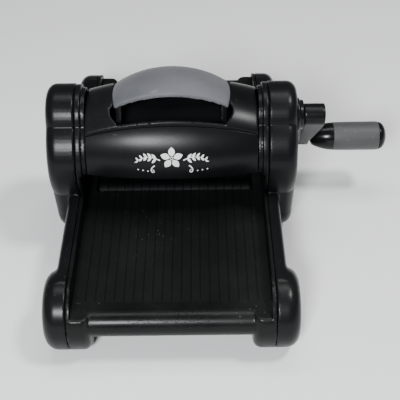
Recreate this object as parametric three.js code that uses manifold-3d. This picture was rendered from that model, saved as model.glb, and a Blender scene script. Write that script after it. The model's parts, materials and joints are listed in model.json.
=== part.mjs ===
// Manual die cutting machine for card and paper crafts. A crank on the right turns two geared
// steel rollers, and a stack of pads, die and paper is fed over the bed between them.
// Millimetres, +Z up. +Y is the feed direction, +X points to the crank. The body is the same on
// its left and right and at its front and rear, so each shell is drawn once and turned for its twin.
import * as THREE from 'three';
import { mergeVertices } from 'three/addons/utils/BufferGeometryUtils.js';
import { ConvexGeometry } from 'three/addons/geometries/ConvexGeometry.js';
import Module from 'manifold-3d';

const wasm = await Module();
wasm.setup();

// ---- driving dimensions -------------------------------------------------------------------
const GAP = 0.3; // between touching pieces
const WALL = 3;

const LENGTH = 362; // along the feed, over the feet
const BED_TOP = 50;
const RAIL_TOP = 66;
const SKIRT_BOTTOM = 8;
const RAIL_INNER = 81; // the clear way between the rails takes a 156 mm pad
const COVER_SEAM = 84.5; // where the side covers meet the base and frames
const RAIL_OUTER = 95;
const FOOT_OUTER = 104.5;
const FOOT_INNER = 66.3;
const HALF_WIDTH = 110; // outer face of a side cover
const FOOT_R = 33.1;
const FOOT_Y = LENGTH / 2 - FOOT_R;
const FOOT_FLAT = 1.2; // height of the drum's flat above the floor
const FOOT_ROUND = 11;
const LIP_R = 12; // the rolled front and rear edges of the bed
const PAD_TOP = 4.2;
const PAD_X = 94;
const PAD_PLAN = [7, 11, 3]; // half width, half length and corner radius
const FLOOR_COVER = { from: 9, to: 12, halfY: 54 };

const CROWN = { z: 125.9, r: 27.9 }; // the housing's upper lobe
const LOBE = { z: 92, r: 48 }; // its main lobe
const BOWL = { z: 38, r: 34 }; // its underside
const COVER_ROUND = 8;

const FRAME_FROM = 75;
const FRAME_RING = 79.3; // inner face of the rim beside the cover
const FRAME_TO = 88;

const SHELL_END = 75;
const SHELL_HALF_DEPTH = 34;
const SHELL_CROWN_R = 47.1; // the shell's crown along Y
const SHELL_DROP = SHELL_CROWN_R - Math.sqrt(SHELL_CROWN_R ** 2 - SHELL_HALF_DEPTH ** 2);
const CREST = 155.1; // top of the shell's arch, carried on over the finger opening
const CREST_R = 250;
const SHELL_FLOOR = 122;

const HANDLE_TOP = 168;
const HANDLE_R = 83; // arch of the handle along X
const PAD_CROWN_R = 40; // and of its grip pad along Y
const PAD_HALF = 22;
const PAD_HALF_X = 51.5;
const PAD_THICK = 4;
const BAR_HALF = 24;
const BAR_DEPTH = 19.5;
const LEG_INNER = 43;
const LEG_OUTER = 51.5;
const LEG_X = (LEG_INNER + LEG_OUTER) / 2;
const OPENING_TOP = PAD_HALF_X + GAP; // half the finger opening's length
const OPENING_FOOT = 44;

const BARREL_Z = 97.5;
const BARREL_MID_R = 52;
const BARREL_END_R = 45;
const BARREL_BOTTOM = 92.5;

const UPPER_Z = 85;
const LOWER_Z = 35;
const ROLLER_R = 16;
const UPPER_HALF = 78.5;
const LOWER_HALF = 72;
const CRANK_Z = 123;
const ROLLER_FROM = -92;
const ROLLER_TO = 104.5;
const LEFT_GROOVE = -90.9; // the retaining rings' grooves in the roller ends
const RIGHT_GROOVE = 101.2;
const SHAFT_R = 6;
const SHAFT_FROM = 75.9;
const SHAFT_GROOVE = 77;
const SHAFT_TO = 131;
const BORE_R = SHAFT_R + GAP;
const RING = { r: 8.5, thick: 1.2, grooveR: 4.6, grooveWidth: 1.8 };
const BUSH = { from: 79.1, flangeTo: 80.6, to: 88.6, flangeR: 12, r: 9 };
const COLLAR = { from: 101.4, innerR: 11, r: 15.5, to: 116.6 };

const MODULE = 2;
const PRESSURE_ANGLE = 25;
const ROLLER_TEETH = 25;
const PINION_TEETH = 13;
const BACKLASH = 0.25;
const GEAR_FROM = 89;
const GEAR_TO = 101;

const ARM_LENGTH = 75;
const ARM_REST = -52; // degrees, from straight back towards the floor
const ARM_FROM = 117;
const HUB_TO = 136;
const ARM_TIP_FROM = 119.5;
const ARM_TIP_TO = 130;
const KNOB_FROM = 132;
const GRIP_FROM = 154;
const GRIP_TO = 198;
const KNOB_TO = 206;
const GRIP_R = 14;

const TIE_ROD = { y: 26, z: 112, r: 5 };
const COVER_SCREWS = [[-27, 60], [27, 60], [0, 143.2]]; // Y, Z on the housing
const FLOOR_SCREW = { x: 60, y: 40 };
const SCREW = { headR: 3.6, head: 2.4, shankR: 1.6 };
const SCREW_SUNK = 6; // depth of the cover screws' seats
const POST_R = 4.8;
const ROD_SCREW = 18;
const SHORT_SCREW = 14;
const CAP = { r: 7, seatR: 7.3, shankR: 2.6, top: 0.9 };
const SPINDLE = { r: 3, headFrom: 195, headTo: 197.6, headR: 5.4 };

// ---- finishes -----------------------------------------------------------------------------
const FINISHES = {
  black: { color: 0x1f2023, roughness: 0.42, metalness: 0 },
  glossBlack: { color: 0x141517, roughness: 0.2, metalness: 0 },
  softGrey: { color: 0x6a6a71, roughness: 0.75, metalness: 0 },
  sleeveGrey: { color: 0x66676a, roughness: 0.7, metalness: 0 },
  rubber: { color: 0x18181a, roughness: 0.9, metalness: 0 },
  steel: { color: 0xb4b6b8, roughness: 0.3, metalness: 1 },
  blackenedSteel: { color: 0x3a3b3d, roughness: 0.45, metalness: 1 },
  bronze: { color: 0x9a7440, roughness: 0.45, metalness: 1 },
};

// ---- drawing helpers ----------------------------------------------------------------------
const radians = THREE.MathUtils.degToRad;
const X_OUT = new THREE.Matrix4().makeBasis(
  new THREE.Vector3(0, 1, 0), new THREE.Vector3(0, 0, 1), new THREE.Vector3(1, 0, 0));
const Y_OUT = new THREE.Matrix4().makeBasis(
  new THREE.Vector3(1, 0, 0), new THREE.Vector3(0, 0, 1), new THREE.Vector3(0, -1, 0));

// a closed geometry as a solid that can be joined and cut
function toSolid(geometry) {
  geometry.deleteAttribute('normal');
  geometry.deleteAttribute('uv');
  const merged = mergeVertices(geometry, 1e-3);
  const index = merged.index.array;
  const corners = [];
  for (let i = 0; i < index.length; i += 3) {
    const [a, b, c] = index.subarray(i, i + 3);
    if (a !== b && b !== c && c !== a) corners.push(a, b, c);
  }
  return new wasm.Manifold(new wasm.Mesh({
    numProp: 3,
    vertProperties: new Float32Array(merged.attributes.position.array),
    triVerts: new Uint32Array(corners),
  }));
}

function drawnOut(shape, from, to, curve = 4, rounding = 0) {
  const geometry = new THREE.ExtrudeGeometry(shape, {
    depth: to - from - 2 * rounding,
    curveSegments: curve,
    bevelEnabled: rounding > 0,
    bevelThickness: rounding,
    bevelSize: rounding,
    bevelOffset: -rounding,
    bevelSegments: 2,
  });
  return geometry.translate(0, 0, from + rounding);
}

// shapes drawn in Y, Z and drawn out along X; in X, Z along Y; and in X, Y along Z
const alongX = (shape, from, to, curve, rounding) =>
  toSolid(drawnOut(shape, from, to, curve, rounding).applyMatrix4(X_OUT));
const alongY = (shape, from, to, curve, rounding) =>
  toSolid(drawnOut(shape, -to, -from, curve, rounding).applyMatrix4(Y_OUT));
const alongZ = (shape, from, to, curve, rounding) =>
  toSolid(drawnOut(shape, from, to, curve, rounding));

function block(x0, x1, y0, y1, z0, z1) {
  const box = new THREE.BoxGeometry(x1 - x0, y1 - y0, z1 - z0);
  return toSolid(box.translate((x0 + x1) / 2, (y0 + y1) / 2, (z0 + z1) / 2));
}

// [x, radius] pairs turned about a line along X through (y, z)
function turned(profile, segments = 16, y = 0, z = 0) {
  const points = profile.map(([x, radius]) => new THREE.Vector2(radius, x));
  const lathe = new THREE.LatheGeometry(points, segments);
  return toSolid(lathe.rotateZ(-Math.PI / 2).translate(0, y, z));
}

const rodX = (x0, x1, radius, y = 0, z = 0, segments = 16) =>
  turned([[x0, 0], [x0, radius], [x1, radius], [x1, 0]], segments, y, z);

const rodZ = (z0, z1, radius, x, y, segments = 12) =>
  toSolid(new THREE.CylinderGeometry(radius, radius, z1 - z0, segments)
    .rotateX(Math.PI / 2).translate(x, y, (z0 + z1) / 2));

const polygon = (points) => new THREE.Shape(points.map(([u, v]) => new THREE.Vector2(u, v)));

const join = (...solids) => solids.reduce((sum, solid) => sum.add(solid));
const cut = (solid, ...tools) => tools.reduce((rest, tool) => rest.subtract(tool), solid);

const machine = new THREE.Group();

function addPiece(parent, name, solid, finish, position = [0, 0, 0]) {
  const { vertProperties, triVerts } = solid.getMesh();
  const geometry = new THREE.BufferGeometry();
  geometry.setAttribute('position', new THREE.BufferAttribute(vertProperties, 3));
  geometry.setIndex(new THREE.BufferAttribute(triVerts, 1));
  geometry.computeVertexNormals();
  const piece = new THREE.Mesh(geometry, new THREE.MeshStandardMaterial(FINISHES[finish]));
  piece.name = name;
  piece.position.set(...position);
  parent.add(piece);
  return piece;
}

// the same piece on the other side of the machine, half a turn about the vertical
function addTwins(name, other, solid, finish) {
  addPiece(machine, name, solid, finish);
  addPiece(machine, other, solid, finish).rotation.z = Math.PI;
}

// ---- outlines -----------------------------------------------------------------------------

// the housing's side outline in Y, Z: an upper lobe, a crease, the main lobe and a round underside
function housingShape(inset) {
  const crownEnd = 11.5;
  const creaseAngle = 55.3;
  const waistAngle = -33;
  const bowlAngle = -5;
  const shape = new THREE.Shape();
  const arc = (lobe, from, to) =>
    shape.absarc(0, lobe.z, lobe.r - inset, radians(from), radians(to), false);
  arc(CROWN, crownEnd, 180 - crownEnd);
  arc(LOBE, 180 - creaseAngle, 180 - waistAngle);
  arc(BOWL, 180 - bowlAngle, 360 + bowlAngle);
  arc(LOBE, waistAngle, creaseAngle);
  return shape;
}

// one rail and its skirt in X, Z, from inside the machine to its rounded outer face
function railShape(inset) {
  const round = 5.5 - inset / 2;
  const right = RAIL_OUTER - inset;
  const top = RAIL_TOP - inset;
  const bottom = SKIRT_BOTTOM + inset;
  const shape = new THREE.Shape();
  shape.moveTo(RAIL_INNER, bottom);
  shape.absarc(right - round, bottom + round, round, -Math.PI / 2, 0, false);
  shape.absarc(right - round, top - round, round, 0, Math.PI / 2, false);
  shape.lineTo(RAIL_INNER, top);
  return shape;
}

function roundedRectangle(halfX, halfY, radius) {
  const shape = new THREE.Shape();
  shape.absarc(halfX - radius, halfY - radius, radius, 0, Math.PI / 2, false);
  shape.absarc(radius - halfX, halfY - radius, radius, Math.PI / 2, Math.PI, false);
  shape.absarc(radius - halfX, radius - halfY, radius, Math.PI, 1.5 * Math.PI, false);
  shape.absarc(halfX - radius, radius - halfY, radius, 1.5 * Math.PI, 2 * Math.PI, false);
  return shape;
}

// a closed arch over Y, like a bread loaf, hulled from its sections along X
function loaf(halfLength, stations, section) {
  const points = [];
  for (let i = 0; i <= stations; i += 1) {
    const x = halfLength * (2 * i / stations - 1);
    for (const [y, z] of section(x)) points.push(new THREE.Vector3(x, y, z));
  }
  return toSolid(new ConvexGeometry(points));
}

// ---- side covers --------------------------------------------------------------------------
function footDrum(inner, outer, radius, round) {
  const profile = [[inner, 0], [inner, radius]];
  const steps = 3;
  for (let i = 0; i <= steps; i += 1) {
    const turn = radians(90 * i / steps);
    profile.push([outer - round + round * Math.sin(turn), radius - round + round * Math.cos(turn)]);
  }
  profile.push([outer, 0]);
  return (y) => turned(profile, 24, y, FOOT_R);
}

function coverScrewSeat(y, z, face) {
  const head = face - SCREW_SUNK;
  return {
    post: rodX(COVER_SEAM, face - 1, POST_R, y, z, 8),
    hole: rodX(COVER_SEAM - 1, face, SCREW.shankR + GAP, y, z, 8),
    counterbore: rodX(head, face + 1, SCREW.headR + 0.6, y, z, 10),
  };
}

function sideCover(withCrank) {
  const housing = alongX(housingShape(0), RAIL_INNER - COVER_ROUND, HALF_WIDTH, 3, COVER_ROUND);
  const rail = alongY(railShape(0), -FOOT_Y, FOOT_Y, 2);
  const drum = footDrum(RAIL_INNER, FOOT_OUTER, FOOT_R, FOOT_ROUND);
  const inside = join(
    alongX(housingShape(WALL), RAIL_INNER, HALF_WIDTH - WALL - 1, 3),
    alongY(railShape(WALL), -FOOT_Y, FOOT_Y, 1));
  const drumInside = (y) => rodX(RAIL_INNER, FOOT_OUTER - FOOT_ROUND / 2, FOOT_R - 5, y, FOOT_R);
  const outside = join(housing, rail, drum(-FOOT_Y), drum(FOOT_Y))
    .intersect(block(COVER_SEAM, 2 * HALF_WIDTH, -LENGTH, LENGTH, FOOT_FLAT, 2 * HANDLE_TOP));
  let cover = cut(outside, inside, drumInside(-FOOT_Y), drumInside(FOOT_Y));
  const seats = COVER_SCREWS.map(([y, z]) => coverScrewSeat(y, z, HALF_WIDTH));
  for (const y of [-FOOT_Y, FOOT_Y]) {
    seats.push(coverScrewSeat(y, FOOT_R, FOOT_OUTER));
    cover = cover.add(block(PAD_X - 8.5, PAD_X + 8.5, y - 14, y + 14, FOOT_FLAT, PAD_TOP + WALL)
      .intersect(drum(y)));
  }
  cover = join(cover, ...seats.map((seat) => seat.post));
  cover = cut(cover, ...seats.flatMap((seat) => [seat.hole, seat.counterbore]));
  for (const y of [-FOOT_Y, FOOT_Y]) {
    const [halfX, halfY, corner] = PAD_PLAN;
    const pocket = roundedRectangle(halfX + GAP, halfY + GAP, corner);
    const tool = drawnOut(pocket, -1, PAD_TOP + GAP, 3).translate(PAD_X, y, 0);
    cover = cover.subtract(toSolid(tool));
  }
  const collarHole = rodX(COLLAR.from - 1, HALF_WIDTH + 1, COLLAR.innerR + GAP, 0, CRANK_Z);
  return withCrank ? cover.subtract(collarHole) : cover;
}

// ---- side frames --------------------------------------------------------------------------
function sideFrame(withCrank) {
  const inset = 0.6;
  const journals = withCrank ? [LOWER_Z, UPPER_Z, CRANK_Z] : [LOWER_Z, UPPER_Z];
  const outer = COVER_SEAM - GAP;
  const above = block(0, outer, -LENGTH, LENGTH, BARREL_BOTTOM - 0.5, 2 * HANDLE_TOP);
  const ring = alongX(housingShape(inset), FRAME_RING, RAIL_INNER + 1, 3);
  const groove = alongX(housingShape(3.5), SHELL_END + 2 * GAP, FRAME_RING + 0.1, 3);
  const bore = alongX(housingShape(8), FRAME_FROM, RAIL_INNER, 3);
  const band = join(ring, groove).intersect(above).subtract(bore);
  const plate = alongX(housingShape(inset), RAIL_INNER, outer, 3);
  const bosses = journals.map((z) => rodX(RAIL_INNER + 1, FRAME_TO, BUSH.flangeR + 1, 0, z));
  const through = (radius, y, z, segments) => rodX(FRAME_FROM, FRAME_TO + 1, radius, y, z, segments);
  const holes = journals.map((z) => through(BUSH.r + GAP, 0, z));
  for (const [y, z] of COVER_SCREWS) holes.push(through(SCREW.shankR + GAP, y, z, 8));
  for (const side of [-1, 1]) {
    holes.push(through(SCREW.shankR + 2 * GAP, side * TIE_ROD.y, TIE_ROD.z, 8));
  }
  return cut(join(plate, band, ...bosses), ...holes);
}

// ---- base: bed, inner rail walls, foot blocks and the rolled front and rear lips -----------
function bedSection() {
  const edge = COVER_SEAM - GAP;
  const under = BED_TOP - 4;
  return polygon([
    [-edge, SKIRT_BOTTOM], [-RAIL_INNER, SKIRT_BOTTOM], [-RAIL_INNER, under],
    [RAIL_INNER, under], [RAIL_INNER, SKIRT_BOTTOM], [edge, SKIRT_BOTTOM],
    [edge, RAIL_TOP], [RAIL_INNER, RAIL_TOP], [RAIL_INNER, BED_TOP],
    [-RAIL_INNER, BED_TOP], [-RAIL_INNER, RAIL_TOP], [-edge, RAIL_TOP],
  ]);
}

function lip() {
  const centre = [-(FOOT_Y + 18), BED_TOP - LIP_R];
  const shape = new THREE.Shape();
  shape.moveTo(-FOOT_Y, BED_TOP);
  shape.absarc(...centre, LIP_R, Math.PI / 2, 1.5 * Math.PI, false);
  shape.absarc(...centre, LIP_R - WALL, 1.5 * Math.PI, Math.PI / 2, true);
  shape.lineTo(-FOOT_Y, BED_TOP - WALL);
  return alongX(shape, -FOOT_INNER - 2, FOOT_INNER + 2);
}

// the inner part of a foot: a drum cut level with the bed, hollow from below
function footBlock() {
  const edge = COVER_SEAM - GAP;
  const round = 5;
  const rounded = [[edge, 0], [edge, FOOT_R], [FOOT_INNER + round, FOOT_R], [FOOT_INNER + 1.5, FOOT_R - 1.6],
    [FOOT_INNER, FOOT_R - round], [FOOT_INNER, 0]].reverse();
  const drum = turned(rounded, 20, -FOOT_Y, FOOT_R);
  const level = block(0, edge + 1, -LENGTH, 0, FOOT_FLAT, BED_TOP);
  const inside = rodX(FOOT_INNER + WALL, edge - WALL, FOOT_R - WALL, -FOOT_Y, FOOT_R, 16)
    .intersect(block(0, edge, -LENGTH, 0, -1, BED_TOP - WALL));
  const way = block(FOOT_INNER + 4, edge - 4, -FOOT_Y - 12, -FOOT_Y + 12, -1, 8);
  const outerHalf = rodX(RAIL_INNER, edge, FOOT_R, -FOOT_Y, FOOT_R, 20)
    .intersect(block(0, edge, -LENGTH, 0, FOOT_FLAT, RAIL_TOP));
  const post = rodX(FOOT_INNER + 1, edge - 1, POST_R, -FOOT_Y, FOOT_R, 8);
  return cut(join(drum.intersect(level), outerHalf), inside, way).add(post);
}

function base() {
  const halfTurn = (solid) => solid.rotate([0, 0, 180]);
  const corner = footBlock();
  const nose = lip();
  const mirrored = corner.mirror([1, 0, 0]);
  const ends = join(corner, mirrored, nose, halfTurn(corner), halfTurn(mirrored), halfTurn(nose));
  const tray = alongY(bedSection(), -FOOT_Y - 2, FOOT_Y + 2);
  const frameNotch = alongX(housingShape(-GAP), RAIL_INNER - GAP, COVER_SEAM + 1, 3);
  const posts = [];
  const screwHoles = [];
  for (const y of [-FOOT_Y, FOOT_Y]) {
    const hole = rodX(FOOT_INNER + 4, COVER_SEAM, SCREW.shankR + GAP, y, FOOT_R, 8);
    screwHoles.push(hole, hole.mirror([1, 0, 0]));
  }
  for (const x of [-FLOOR_SCREW.x, FLOOR_SCREW.x]) {
    for (const y of [-FLOOR_SCREW.y, FLOOR_SCREW.y]) {
      posts.push(rodZ(FLOOR_COVER.to + GAP, BED_TOP - 2, 5, x, y));
      screwHoles.push(rodZ(FLOOR_COVER.to - 1, 30, SCREW.shankR + GAP, x, y, 8));
    }
  }
  const slot = block(-LOWER_HALF - 1, LOWER_HALF + 1, -ROLLER_R - 1, ROLLER_R + 1, LOWER_Z, RAIL_TOP);
  const flangeRoom = rodX(-RAIL_INNER, RAIL_INNER, BUSH.flangeR + 2 * GAP, 0, LOWER_Z);
  const notches = [frameNotch, halfTurn(frameNotch), slot, flangeRoom];
  return cut(join(tray, ends, ...posts), ...notches, ...screwHoles);
}

// ---- top shell, handle and barrel panels ---------------------------------------------------
const crestAt = (x) => CREST - CREST_R + Math.sqrt(CREST_R ** 2 - x ** 2);
const handleAt = (x) => HANDLE_TOP - HANDLE_R + Math.sqrt(HANDLE_R ** 2 - x ** 2);

function shellSection(inset, floor) {
  return (x) => {
    const half = SHELL_HALF_DEPTH - inset;
    const radius = SHELL_CROWN_R - inset;
    const centre = crestAt(x) - SHELL_CROWN_R;
    const points = [[-half, floor], [half, floor]];
    const steps = 9;
    for (let i = 0; i <= steps; i += 1) {
      const y = half * (2 * i / steps - 1);
      points.push([y, centre + Math.sqrt(radius ** 2 - y ** 2)]);
    }
    return points;
  };
}

function topShell() {
  const outer = loaf(SHELL_END, 8, shellSection(0, SHELL_FLOOR));
  const inner = loaf(SHELL_END - WALL, 8, shellSection(WALL, SHELL_FLOOR + WALL));
  const lipAt = (x) => crestAt(x) - SHELL_DROP;
  const opening = new THREE.Shape();
  opening.moveTo(-OPENING_FOOT, lipAt(OPENING_FOOT));
  opening.quadraticCurveTo(0, 2 * lipAt(0) - lipAt(OPENING_FOOT), OPENING_FOOT, lipAt(OPENING_FOOT));
  const side = [
    [OPENING_TOP, 139.4], [OPENING_TOP + 0.7, 145], [OPENING_TOP, 149], [OPENING_TOP, HANDLE_TOP],
  ];
  for (const [x, z] of side) opening.lineTo(x, z);
  for (const [x, z] of side.reverse()) opening.lineTo(-x, z);
  const saddle = alongY(opening, -SHELL_HALF_DEPTH - 1, SHELL_HALF_DEPTH + 1, 8);
  const screwHoles = [-LEG_X, LEG_X].map(
    (x) => rodZ(SHELL_FLOOR - 1, SHELL_FLOOR + 5, SCREW.shankR + GAP, x, 0, 8));
  return cut(outer, inner, saddle, ...screwHoles);
}

function handleSolid(halfX, halfY, drop, bottom) {
  return loaf(halfX, 10, (x) => {
    const points = [[-halfY, bottom], [halfY, bottom]];
    const steps = 4;
    for (let i = 0; i <= steps; i += 1) {
      const y = halfY * (2 * i / steps - 1);
      points.push([y, handleAt(x) - drop - PAD_CROWN_R + Math.sqrt(PAD_CROWN_R ** 2 - y ** 2)]);
    }
    return points;
  });
}

function handleBar() {
  const bottom = SHELL_FLOOR + WALL + GAP;
  const body = handleSolid(LEG_OUTER, BAR_HALF, 1, bottom);
  const tunnel = new THREE.Shape();
  const under = (x) => handleAt(x) - BAR_DEPTH;
  tunnel.moveTo(-LEG_INNER, bottom - 1);
  tunnel.lineTo(LEG_INNER, bottom - 1);
  tunnel.lineTo(LEG_INNER, under(LEG_INNER) - 3);
  tunnel.quadraticCurveTo(LEG_INNER, under(LEG_INNER) + 1, LEG_INNER - 6, under(LEG_INNER - 6));
  tunnel.quadraticCurveTo(0, 2 * under(0) - under(LEG_INNER - 6), 6 - LEG_INNER, under(LEG_INNER - 6));
  tunnel.quadraticCurveTo(-LEG_INNER, under(LEG_INNER) + 1, -LEG_INNER, under(LEG_INNER) - 3);
  const pocket = cut(
    block(-PAD_HALF_X - GAP, PAD_HALF_X + GAP, -PAD_HALF - GAP, PAD_HALF + GAP, bottom, 2 * HANDLE_TOP),
    handleSolid(LEG_OUTER + 1, PAD_HALF + 2, PAD_THICK + GAP, bottom - 1));
  const screwHoles = [-LEG_X, LEG_X].map((x) => rodZ(bottom - 1, bottom + 14, SCREW.shankR + GAP, x, 0, 8));
  return cut(body, alongY(tunnel, -BAR_HALF - 1, BAR_HALF + 1, 6), pocket, ...screwHoles);
}

const gripPad = () => cut(handleSolid(PAD_HALF_X, PAD_HALF, 0, BED_TOP),
  handleSolid(LEG_OUTER + 1, PAD_HALF + 2, PAD_THICK, BED_TOP - 1));

// a bulged panel, a band of a barrel that lies along X
function barrelPanel() {
  const end = SHELL_END - GAP;
  const bulge = (x) => BARREL_MID_R - (BARREL_MID_R - BARREL_END_R) * (x / end) ** 2;
  const stations = 8;
  const profile = [];
  for (let i = 0; i <= stations; i += 1) {
    const x = end * (2 * i / stations - 1);
    profile.push([x, bulge(x)]);
  }
  const inner = profile.map(([x, radius]) => [x, radius - WALL]).reverse();
  const ring = turned([...profile, ...inner, profile[0]], 48, 0, BARREL_Z);
  const front = block(-SHELL_END, SHELL_END, -2 * BARREL_MID_R, -SHELL_HALF_DEPTH - GAP,
    BARREL_BOTTOM, 2 * HANDLE_TOP);
  return ring.intersect(front);
}

// ---- gears, rollers, bushes and fasteners ---------------------------------------------------

// an involute gear with a tooth pointing up
function gear(teeth, bore) {
  const pitchR = MODULE * teeth / 2;
  const angle = radians(PRESSURE_ANGLE);
  const baseR = pitchR * Math.cos(angle);
  const tipR = pitchR + 0.8 * MODULE;
  const rootR = pitchR - 1.05 * MODULE;
  const involute = (a) => Math.tan(a) - a;
  const halfTooth = Math.PI / (2 * teeth) - BACKLASH / (2 * pitchR);
  const startR = Math.max(baseR, rootR);
  const flank = [startR, pitchR, tipR].map((r) => {
    const turn = halfTooth + involute(angle) - involute(Math.acos(baseR / r));
    return [r, turn];
  });
  if (rootR < startR) flank.unshift([rootR, flank[0][1]]);
  const points = [];
  for (let tooth = 0; tooth < teeth; tooth += 1) {
    const centre = Math.PI / 2 + 2 * Math.PI * tooth / teeth;
    for (const [r, turn] of flank) points.push([r, centre - turn]);
    for (const [r, turn] of [...flank].reverse()) points.push([r, centre + turn]);
  }
  const outline = polygon(points.map(([r, turn]) => [r * Math.cos(turn), r * Math.sin(turn)]));
  return cut(alongX(outline, GEAR_FROM, GEAR_TO), rodX(GEAR_FROM - 1, GEAR_TO + 1, bore));
}

function grooved(x) {
  const end = x + RING.grooveWidth;
  return [[x, SHAFT_R], [x, RING.grooveR], [end, RING.grooveR], [end, SHAFT_R]];
}

function roller(half) {
  return turned([
    [ROLLER_FROM, 0], [ROLLER_FROM, SHAFT_R], ...grooved(LEFT_GROOVE), [-half, SHAFT_R],
    [-half, ROLLER_R], [half, ROLLER_R],
    [half, SHAFT_R], ...grooved(RIGHT_GROOVE), [ROLLER_TO, SHAFT_R], [ROLLER_TO, 0],
  ], 24);
}

function crankShaft() {
  const shaft = turned([
    [SHAFT_FROM, 0], [SHAFT_FROM, SHAFT_R], ...grooved(SHAFT_GROOVE), [SHAFT_TO, SHAFT_R], [SHAFT_TO, 0],
  ]);
  return shaft.subtract(rodX(SHAFT_TO - 13, SHAFT_TO + 1, CAP.shankR + GAP, 0, 0, 8));
}

// an open retaining ring lying from x = 0
function retainingRing() {
  const shape = new THREE.Shape();
  const mouth = radians(22);
  shape.absarc(0, 0, RING.r, mouth, 2 * Math.PI - mouth, false);
  shape.absarc(0, 0, RING.grooveR + GAP, 2 * Math.PI - mouth, mouth, true);
  return alongX(shape, 0, RING.thick, 4);
}

// a flanged bush in the right-hand side frame
function bush() {
  return turned([
    [BUSH.from, BORE_R], [BUSH.from, BUSH.flangeR], [BUSH.flangeTo, BUSH.flangeR], [BUSH.flangeTo, BUSH.r],
    [BUSH.to, BUSH.r], [BUSH.to, BORE_R], [BUSH.from, BORE_R],
  ]);
}

function crankCollar() {
  const face = HALF_WIDTH + GAP;
  const { from, innerR, r, to } = COLLAR;
  return turned([
    [from, BORE_R], [from, innerR], [face, innerR], [face, r], [face + 2.2, r], [face + 2.9, r - 1.5],
    [to - 0.6, r - 2.3], [to, r - 3.1], [to, BORE_R], [from, BORE_R],
  ]);
}

// a pan head screw along X with its head at x = 0 and its shank towards -X
function screw(length) {
  return turned([
    [-length, 0], [-length, SCREW.shankR], [0, SCREW.shankR], [0.01, SCREW.headR],
    [SCREW.head, SCREW.headR * 0.7], [SCREW.head, 0],
  ], 8);
}

// ---- crank --------------------------------------------------------------------------------
function crankArm() {
  const hubR = 10;
  const tipR = 8;
  const plan = new THREE.Shape();
  plan.absarc(0, 0, hubR, Math.PI / 2, 1.5 * Math.PI, false);
  plan.absarc(ARM_LENGTH, 0, tipR, -Math.PI / 2, Math.PI / 2, false);
  const side = polygon([
    [-20, ARM_FROM], [8, ARM_FROM], [ARM_LENGTH - 10, ARM_TIP_FROM], [100, ARM_TIP_FROM],
    [100, ARM_TIP_TO], [ARM_LENGTH - 10, ARM_TIP_TO], [12, HUB_TO], [-20, HUB_TO],
  ]);
  // the side view is drawn in Y, X and drawn out along Z
  const taper = toSolid(drawnOut(side, -12, 12).applyMatrix4(new THREE.Matrix4().makeBasis(
    new THREE.Vector3(0, 1, 0), new THREE.Vector3(1, 0, 0), new THREE.Vector3(0, 0, -1))));
  const arm = alongX(plan, ARM_FROM - 1, HUB_TO, 5, 1).intersect(taper);
  return cut(arm,
    rodX(ARM_FROM - 1, SHAFT_TO + GAP, BORE_R),
    rodX(SHAFT_TO + GAP, HUB_TO + 1, CAP.seatR),
    rodX(ARM_TIP_FROM - 1, ARM_TIP_TO + 1, SPINDLE.r + GAP, ARM_LENGTH, 0, 20));
}

function crankCap() {
  const seat = SHAFT_TO + 2 * GAP;
  return turned([
    [SHAFT_TO - 12, 0], [SHAFT_TO - 12, CAP.shankR - GAP], [seat, CAP.shankR - GAP], [seat, CAP.r],
    [HUB_TO - 0.6, CAP.r], [HUB_TO + 0.6, 4.4], [HUB_TO + CAP.top, 0],
  ], 12);
}

const knobSpindle = () => turned([
  [ARM_TIP_FROM, 0], [ARM_TIP_FROM, SPINDLE.r], [SPINDLE.headFrom, SPINDLE.r],
  [SPINDLE.headFrom + 0.01, SPINDLE.headR], [SPINDLE.headTo, SPINDLE.headR], [SPINDLE.headTo, 0],
], 12);

function knobCone() {
  const bore = SPINDLE.r + GAP;
  const to = GRIP_FROM - GAP;
  return turned([
    [KNOB_FROM, bore], [KNOB_FROM, 4.4], [KNOB_FROM + 1, 5.6], [KNOB_FROM + 7, 8.2], [KNOB_FROM + 13, 10.6],
    [KNOB_FROM + 18, 12.4], [to, GRIP_R - 0.4], [to, bore], [KNOB_FROM, bore],
  ]);
}

function knobGrip() {
  const bore = SPINDLE.r + GAP;
  const seat = SPINDLE.headFrom - 0.5;
  const seatR = SPINDLE.headR + 2 * GAP;
  return turned([
    [GRIP_FROM, bore], [GRIP_FROM, GRIP_R - 0.3], [GRIP_FROM + 1, GRIP_R], [GRIP_TO - 1, GRIP_R],
    [GRIP_TO, GRIP_R - 0.3], [GRIP_TO, seatR], [seat, seatR], [seat, bore], [GRIP_FROM, bore],
  ]);
}

function knobCap() {
  const from = GRIP_TO + GAP;
  const depth = KNOB_TO - from;
  const profile = [[from, 0]];
  const steps = 5;
  for (let i = 0; i <= steps; i += 1) {
    const turn = radians(90 * i / steps);
    profile.push([from + depth * Math.sin(turn), (GRIP_R - 0.3) * Math.cos(turn)]);
  }
  profile[profile.length - 1][1] = 0;
  return turned(profile);
}

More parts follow.
